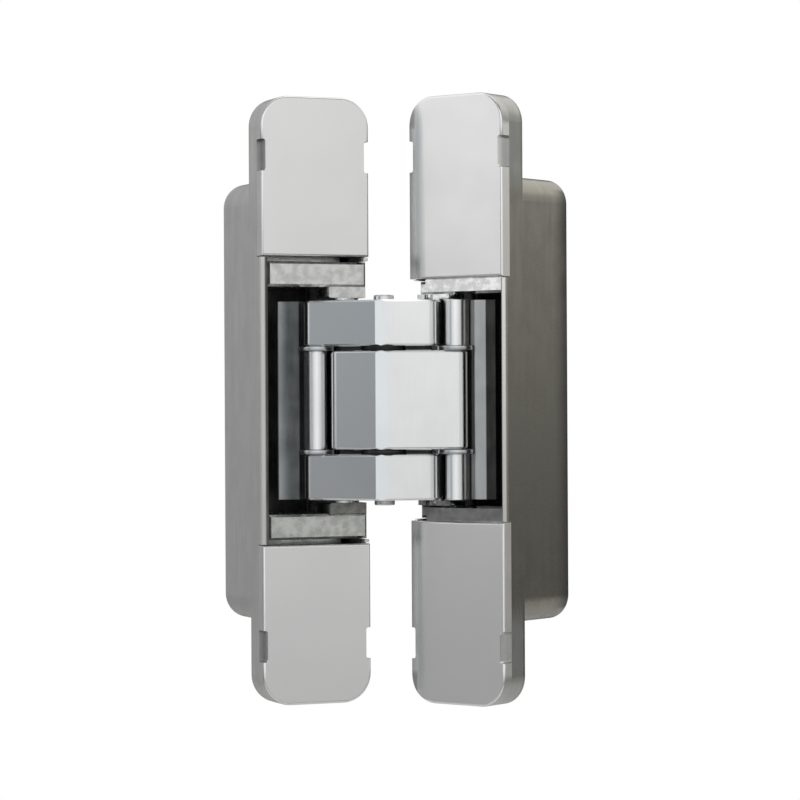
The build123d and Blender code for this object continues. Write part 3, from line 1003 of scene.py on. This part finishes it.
@dataclass
class Linkage:
    """The arms and levers between the halves.

    Attributes:
        paint: The finishes.
        arm_edge: Rounding of the arms' edges.
        lever_edge: Rounding of the levers' edges.
        ridge_facing_deg: Azimuth that the ridges of the arms look to.
        ridge_reach_mm: From the centre pin's axis to the flat on the ridges.
        crease_deg: Faces of an arm that turn by less than this run smoothly into each other.
        pad_top_mm: Height of the outer arms' foot, below which their pads are, near-black as painted shade.
        pad_soft_mm: Softness of the pads' edges.
        frame_dark_mm: Start, end and softness of the frame heel's dark slices, deeper painted shade.
        door_dark_mm: The same for the door heel.
    """

    paint: Paint
    arm_edge: EasedEdge = EasedEdge(0.12)
    lever_edge: EasedEdge = EasedEdge(0.15)
    ridge_facing_deg: float = -30.0
    ridge_reach_mm: float = 4.44
    crease_deg: float = 13.0
    pad_top_mm: float = 10.6
    pad_soft_mm: float = 0.02
    frame_dark_mm: tuple[Triple, ...] = ((-BEYOND_MM, 6.9, 1.5),)
    door_dark_mm: tuple[Triple, ...] = ((-BEYOND_MM, 3.0, 0.15), (5.95, BEYOND_MM, 0.15))

    def dress(self, nodes: Nodes) -> None:
        """Planes the arms' ridges, and eases and finishes the arms and levers."""
        self._dress_arm(nodes["centre_arm"], ARM)
        for end, up in zip(ENDS, (UP, -UP)):
            # Painted shade on the pads below the foot.
            pads = Slice(up, 0.0, -BEYOND_MM, self.pad_top_mm, self.pad_soft_mm)
            self._dress_arm(nodes[f"{end}_outer_arm"], ZonedFinish(f"{end}_arm_steel", ARM, ((pads, PAD_SHADE),)))
        # Painted shade on the levers' heels and painted light on their knuckles.
        self._dress_lever(nodes["frame_lever"], "frame", FRAME_HEEL_SHADE, HEEL_DEEP_SHADE, self.frame_dark_mm)
        self._dress_lever(nodes["door_lever"], "door", DOOR_HEEL_SHADE, HEEL_BLACK_SHADE, self.door_dark_mm)

    def _dress_arm(self, node: Piece, finish: AnyFinish) -> None:
        """Puts a planed and finished arm in the place of its solid."""
        arm = self._plane_ridge(node)
        self.arm_edge.apply(arm)
        self.paint.coat(arm, finish)
        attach(arm, node["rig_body"])
        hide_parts(node.name)
        LOG.info("planed and dressed %s", node.name)

    def _dress_lever(
        self,
        lever: Piece,
        half: str,
        heel: Finish,
        dark: Finish,
        dark_mm: tuple[Triple, ...],
    ) -> None:
        """Finishes one lever.

        Args:
            lever: The lever.
            half: The half that it belongs to.
            heel: Finish of its heel, painted shade.
            dark: Finish of the heel's dark slices, deeper painted shade.
            dark_mm: Start, end and softness of those slices, away from the knuckle.
        """
        low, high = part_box(f"{half}_link_pin")
        axis = (low + high) / 2
        turn_deg = -QUARTER_DEG if half == "frame" else QUARTER_DEG
        aside = direction(self.ridge_facing_deg + turn_deg)
        zones: list[tuple[Zone, Finish]] = []
        for start_mm, end_mm, soft_mm in dark_mm:
            zones.append((Slice(aside, axis.dot(aside), start_mm, end_mm, soft_mm), dark))
        # Painted light on the knuckle around the link pin.
        zones.append((AroundPin(axis), KNUCKLE_LIGHT))
        self.lever_edge.apply(lever)
        self.paint.coat(lever, ZonedFinish(f"{half}_lever_steel", heel, tuple(zones)))
        LOG.info("dressed %s", lever.name)

    def _plane_ridge(self, node: Piece) -> Piece:
        """Copies an arm and planes a narrow flat on its ridge."""
        low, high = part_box("centre_pin")
        facing = direction(self.ridge_facing_deg)
        flat = (low + high) / 2 + facing * (self.ridge_reach_mm * MM)
        mesh = node.data.copy()
        mesh.name = f"{node.name}_planed"
        plane_off(mesh, flat, facing)
        mesh.shade_smooth()
        mesh.set_sharp_from_angle(angle=math.radians(self.crease_deg))
        return add_object(mesh.name, mesh)


@dataclass
class TurnedParts:
    """The pins and washers, which stand for their plain solids.

    Attributes:
        paint: The finishes.
        lathe: The trees that make them.
        pin_edge_mm: Rounding of a pin's ends.
        washer_edge_mm: Rounding of a washer's rims.
        bore_play_mm: Room between a washer's bore and its pin.
    """

    paint: Paint
    lathe: Lathe
    pin_edge_mm: float = 0.28
    washer_edge_mm: float = 0.12
    bore_play_mm: float = 0.05

    def build(self, nodes: Nodes) -> None:
        """Turns every pin and every pair of washers."""
        pins = [name for name in sorted(nodes) if name.endswith("_pin")]
        for name in pins:
            self._turn_pin(nodes[name])
        self._turn_washers("centre", "centre_pin", DARK_WASHER, nodes)
        for half in HALVES:
            self._turn_washers(f"{half}_link", f"{half}_link_pin", WASHER, nodes)

    def _turn_pin(self, node: Piece) -> None:
        """Turns one pin in place of its solid."""
        low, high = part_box(node.name)
        sizes = {
            "Radius": (high.x - low.x) / 2,
            "Bottom": low.z,
            "Top": high.z,
            "Edge": self.pin_edge_mm * MM,
            "Place": ((low.x + high.x) / 2, (low.y + high.y) / 2, 0.0),
        }
        piece = self.lathe.turn(f"{node.name}_turned", self.lathe.pin_tree, sizes)
        self._stand_for(piece, PIN, [node])

    def _turn_washers(self, seat: str, pin: str, finish: Finish, nodes: Nodes) -> None:
        """Turns one pair of washers in place of their solids.

        Args:
            seat: Where they sit, as their nodes' names have it.
            pin: The pin that they sit on.
            finish: Their finish.
            nodes: The hinge's solids.
        """
        half, _, joint = seat.rpartition("_")
        names = [f"{half}_{end}_{joint}_washer".strip("_") for end in ENDS]
        pair = [nodes[name] for name in names]
        low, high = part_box(pair[0].name)
        pin_low, pin_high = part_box(pin)
        sizes = {
            "Radius": (high.x - low.x) / 2,
            "Bore": (pin_high.x - pin_low.x) / 2 + self.bore_play_mm * MM,
            "Thickness": high.z - low.z,
            "Level": (high.z + low.z) / 2,
            "Edge": self.washer_edge_mm * MM,
            "Place": ((low.x + high.x) / 2, (low.y + high.y) / 2, 0.0),
        }
        piece = self.lathe.turn(f"{seat}_washers", self.lathe.washer_tree, sizes)
        self._stand_for(piece, finish, pair)

    def _stand_for(self, piece: Piece, finish: Finish, solids: list[Piece]) -> None:
        """Puts a turned piece in the place of its solids."""
        self.paint.coat(piece, finish)
        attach(piece, solids[0]["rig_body"])
        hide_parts(*[solid.name for solid in solids])
        LOG.info("turned %s", piece.name)


@dataclass(frozen=True)
class Softbox:
    """One square area lamp that faces the hinge.

    Attributes:
        name: The lamp's name.
        azimuth_deg: Where it stands, 0 in front of the frame half and positive to the right.
        elevation_deg: How high it stands.
        distance: From the hinge.
        size: Length of its sides.
        watts: Its power.
    """

    name: str
    azimuth_deg: float
    elevation_deg: float
    distance: float
    size: float
    watts: float

    def light(self, target: Vector) -> None:
        """Sets the lamp up to face a point."""
        lamp = bpy.data.lights.new(self.name, "AREA")
        lamp.shape = "SQUARE"
        lamp.size = self.size
        lamp.energy = self.watts
        holder = add_object(self.name, lamp)
        away = direction(self.azimuth_deg, self.elevation_deg)
        holder.location = target + away * self.distance
        holder.rotation_euler = (-away).to_track_quat("-Z", "Y").to_euler()
        holder.visible_camera = False


@dataclass(frozen=True)
class Sky:
    """The way that a ray leaves the hinge, as values of the world's graph.

    Attributes:
        azimuth: Degrees to the right of the frame half's front.
        elevation: Degrees above the horizon.
    """

    azimuth: Signal
    elevation: Signal

    @classmethod
    def read(cls, graph: Graph) -> Sky:
        """Reads both angles from a ray's direction."""
        coords = graph.add("ShaderNodeTexCoord")
        parts = graph.add("ShaderNodeSeparateXYZ", {0: coords.outputs["Generated"]})
        east, north, up = (graph.out(parts, axis) for axis in range(3))
        turn = east.math("ARCTAN2", east, north * -1.0)
        rise = up.math("ARCSINE", up.at_most(1.0).at_least(-1.0))
        return cls(turn * math.degrees(1.0), rise * math.degrees(1.0))


@dataclass(frozen=True)
class Glow:
    """A patch of the surroundings with soft edges.

    Attributes:
        azimuth_deg: Its middle, 0 in front of the frame half and positive to the right.
        half_width_deg: From its middle to its sides.
        bottom_deg: Elevation of its lower edge.
        top_deg: Elevation of its upper edge.
        strength: Light that it adds, where 1 is white.
        side_soft_deg: Width of the soft edge at its sides.
        level_soft_deg: Width of the soft edge at top and bottom.
        tint: Colour of its light.
    """

    azimuth_deg: float
    half_width_deg: float
    bottom_deg: float
    top_deg: float
    strength: float
    side_soft_deg: float
    level_soft_deg: float
    tint: Colour = WHITE

    def mask(self, sky: Sky) -> Signal:
        """One inside the patch, zero outside."""
        turn = sky.azimuth - self.azimuth_deg
        apart = turn.math("ABSOLUTE", turn.math("WRAP", turn, 180.0, -180.0))
        side, level = self.side_soft_deg / 2, self.level_soft_deg / 2
        across = 1.0 - apart.smooth(self.half_width_deg - side, self.half_width_deg + side)
        above = sky.elevation.smooth(self.bottom_deg - level, self.bottom_deg + level)
        below = 1.0 - sky.elevation.smooth(self.top_deg - level, self.top_deg + level)
        return across * above * below

    def add_to(self, light: Tone, sky: Sky) -> Socket:
        """Adds the patch to the light of the room so far."""
        share = self.mask(sky) * self.strength
        return sky.azimuth.graph.mix(share, light, self.tint, blend_type="ADD")


@dataclass(frozen=True)
class Studio:
    """The room, the floor and the lamps.

    Attributes:
        lamps: The softboxes.
        backdrop: The white sweep, as metal mirrors it.
        glows: The other lit parts of the room.
        room: Light from the room itself.
        floor_level: Height of the floor, which is below the picture.
        floor_clear: Radius up to which the floor is whole.
        floor_end: Radius at which it has faded out.
        floor_colour: Its paint.
        floor_white: How much of the floor's look is plain white, so that its shadow stays faint.
    """

    lamps: tuple[Softbox, ...]
    backdrop: Glow
    glows: tuple[Glow, ...]
    room: Colour = (0.10, 0.10, 0.10)
    floor_level: float = -0.12
    floor_clear: float = 0.10
    floor_end: float = 0.26
    floor_colour: Colour = (0.90, 0.90, 0.90)
    floor_white: float = 0.75

    def build(self, target: Vector) -> None:
        """Sets up the world, the floor and the lamps around a point."""
        self._build_world()
        self._build_floor()
        for lamp in self.lamps:
            lamp.light(target)

    def _build_world(self) -> None:
        """A white background and sweep in a room with soft patches of light."""
        world = bpy.data.worlds.new("studio")
        world.use_nodes = True
        bpy.context.scene.world = world
        graph = Graph(world.node_tree)
        sky = Sky.read(graph)
        light: Tone = self.room
        for glow in self.glows:
            light = glow.add_to(light, sky)
        lit = graph.add("ShaderNodeBackground", {"Color": light, "Strength": 1.0})
        white = graph.add("ShaderNodeBackground", {"Color": (*WHITE, 1.0), "Strength": 1.0})
        glossy = graph.out(graph.add("ShaderNodeLightPath"), "Is Glossy Ray")
        mirrored = glossy * self.backdrop.mask(sky) * self.backdrop.strength
        inputs = {0: graph.seen().at_least(mirrored), 1: lit.outputs[0], 2: white.outputs[0]}
        both = graph.add("ShaderNodeMixShader", inputs)
        graph.add("ShaderNodeOutputWorld", {"Surface": both.outputs[0]})

    def _build_floor(self) -> None:
        """A pale round of floor that keeps a faint shadow and fades into the background."""
        mesh = bpy.data.meshes.new("floor")
        reach = self.floor_end
        corners = [(-reach, -reach), (reach, -reach), (reach, reach), (-reach, reach)]
        mesh.from_pydata([(x, y, self.floor_level) for x, y in corners], [], [(0, 1, 2, 3)])
        floor = add_object("floor", mesh)
        material, graph = new_material("pale_floor")
        paint = graph.add("ShaderNodeBsdfDiffuse", {"Color": (*self.floor_colour, 1.0)})
        white = graph.add("ShaderNodeEmission", {"Color": (*WHITE, 1.0), "Strength": 1.0})
        inputs = {0: graph.seen() * self.floor_white, 1: paint.outputs[0], 2: white.outputs[0]}
        shown = graph.add("ShaderNodeMixShader", inputs)
        flat = graph.add("ShaderNodeSeparateXYZ", {0: graph.position()})
        east, north = graph.out(flat, 0), graph.out(flat, 1)
        squared = east * east + north * north
        fade = squared.smooth(self.floor_clear**2, self.floor_end**2)
        gone = graph.add("ShaderNodeBsdfTransparent")
        faded = graph.add("ShaderNodeMixShader", {0: fade, 1: shown.outputs[0], 2: gone.outputs[0]})
        graph.add("ShaderNodeOutputMaterial", {"Surface": faded.outputs[0]})
        mesh.materials.append(material)
        floor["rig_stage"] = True


@dataclass(frozen=True)
class PhotoCamera:
    """The camera at the photograph's viewing angle.

    Attributes:
        place_mm: Where it stands.
        azimuth_deg: The way it looks, 0 along +Y and positive to the right.
        roll_deg: How far the picture is turned.
        lens_mm: Focal length.
        sensor_mm: Width of the sensor.
        near: Distance at which its view starts.
        far: Distance at which its view ends.
    """

    place_mm: Triple = (-207.9, -545.5, 0.0)
    azimuth_deg: float = 22.75
    roll_deg: float = -0.3
    lens_mm: float = 131.4
    sensor_mm: float = 36.0
    near: float = 0.01
    far: float = 50.0

    def build(self) -> None:
        """Makes the camera and gives it to the scene."""
        data = bpy.data.cameras.new("photo_camera")
        data.lens = self.lens_mm
        data.sensor_width = self.sensor_mm
        data.clip_start = self.near
        data.clip_end = self.far
        camera = add_object("photo_camera", data)
        turn = math.radians(self.azimuth_deg)
        look = Vector((math.sin(turn), math.cos(turn), 0.0))
        level = look.to_track_quat("-Z", "Y").to_matrix().to_4x4()
        roll = Matrix.Rotation(math.radians(self.roll_deg), 4, "Z")
        camera.matrix_world = Matrix.Translation(Vector(self.place_mm) * MM) @ level @ roll
        bpy.context.scene.camera = camera


BLUE = (0.86, 1.0, 1.10)
COOL = (0.95, 1.0, 1.03)
WARM = (1.0, 0.985, 0.93)

# Name, azimuth, elevation, distance, size and watts
LAMPS = (
    Softbox("front_box", 5.0, 20.0, 1.0, 0.5, 0.12),
    Softbox("top_box", 0.0, 80.0, 1.0, 0.6, 0.45),
)

# Azimuth, half width, bottom, top, strength, softness of sides and of levels, tint
BACKDROP = Glow(-113.0, 28.0, 0.5, 75.0, 1.0, 18.0, 4.0)
GLOWS = (
    Glow(-162.0, 32.0, 0.0, 75.0, 0.62, 20.0, 16.0),
    Glow(-162.0, 32.0, -70.0, 0.0, 0.40, 20.0, 16.0),
    Glow(-110.0, 36.0, -70.0, 0.0, 0.21, 16.0, 4.0),
    Glow(-76.0, 9.0, -0.3, 40.0, 0.26, 10.0, 3.0, BLUE),
    Glow(-42.0, 22.0, -8.0, 35.0, 0.84, 12.0, 20.0, COOL),
    Glow(-21.0, 9.0, -12.0, 35.0, 0.22, 10.0, 20.0),
    Glow(-4.0, 16.0, -8.0, 35.0, 0.82, 12.0, 20.0),
    Glow(32.0, 20.0, -8.0, 30.0, 0.62, 12.0, 20.0),
    Glow(104.0, 42.0, 21.0, 90.0, 1.15, 16.0, 16.0, WARM),
    Glow(76.0, 20.0, 1.0, 20.0, 0.62, 16.0, 10.0, WARM),
    Glow(95.0, 28.0, -75.0, -10.0, 0.45, 16.0, 10.0, WARM),
    Glow(0.0, 200.0, 52.0, 120.0, 0.40, 16.0, 24.0),
)


def main() -> None:
    """Builds the looks of the hinge and the studio around it."""
    logging.basicConfig(level=logging.INFO, format="%(message)s")
    for leftover in list(bpy.data.objects):
        bpy.data.objects.remove(leftover)
    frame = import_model()
    cad_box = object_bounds()
    nodes = frame["nodes"]
    paint = Paint({})
    lathe = Lathe()
    frame_half = Half("frame", facing_deg=0.0, look=FRAME_LOOK, paint=paint)
    door_half = Half("door", facing_deg=-60.0, look=DOOR_LOOK, paint=paint)
    for half in (frame_half, door_half):
        half.dress(nodes)
        half.add_collars(nodes, lathe)
    Linkage(paint).dress(nodes)
    TurnedParts(paint, lathe).build(nodes)
    middle = (cad_box[0] + cad_box[1]) / 2
    Studio(LAMPS, BACKDROP, GLOWS).build(middle)
    PhotoCamera().build()
    bpy.context.scene.view_settings.view_transform = "Standard"


if __name__ == "__main__":
    main()
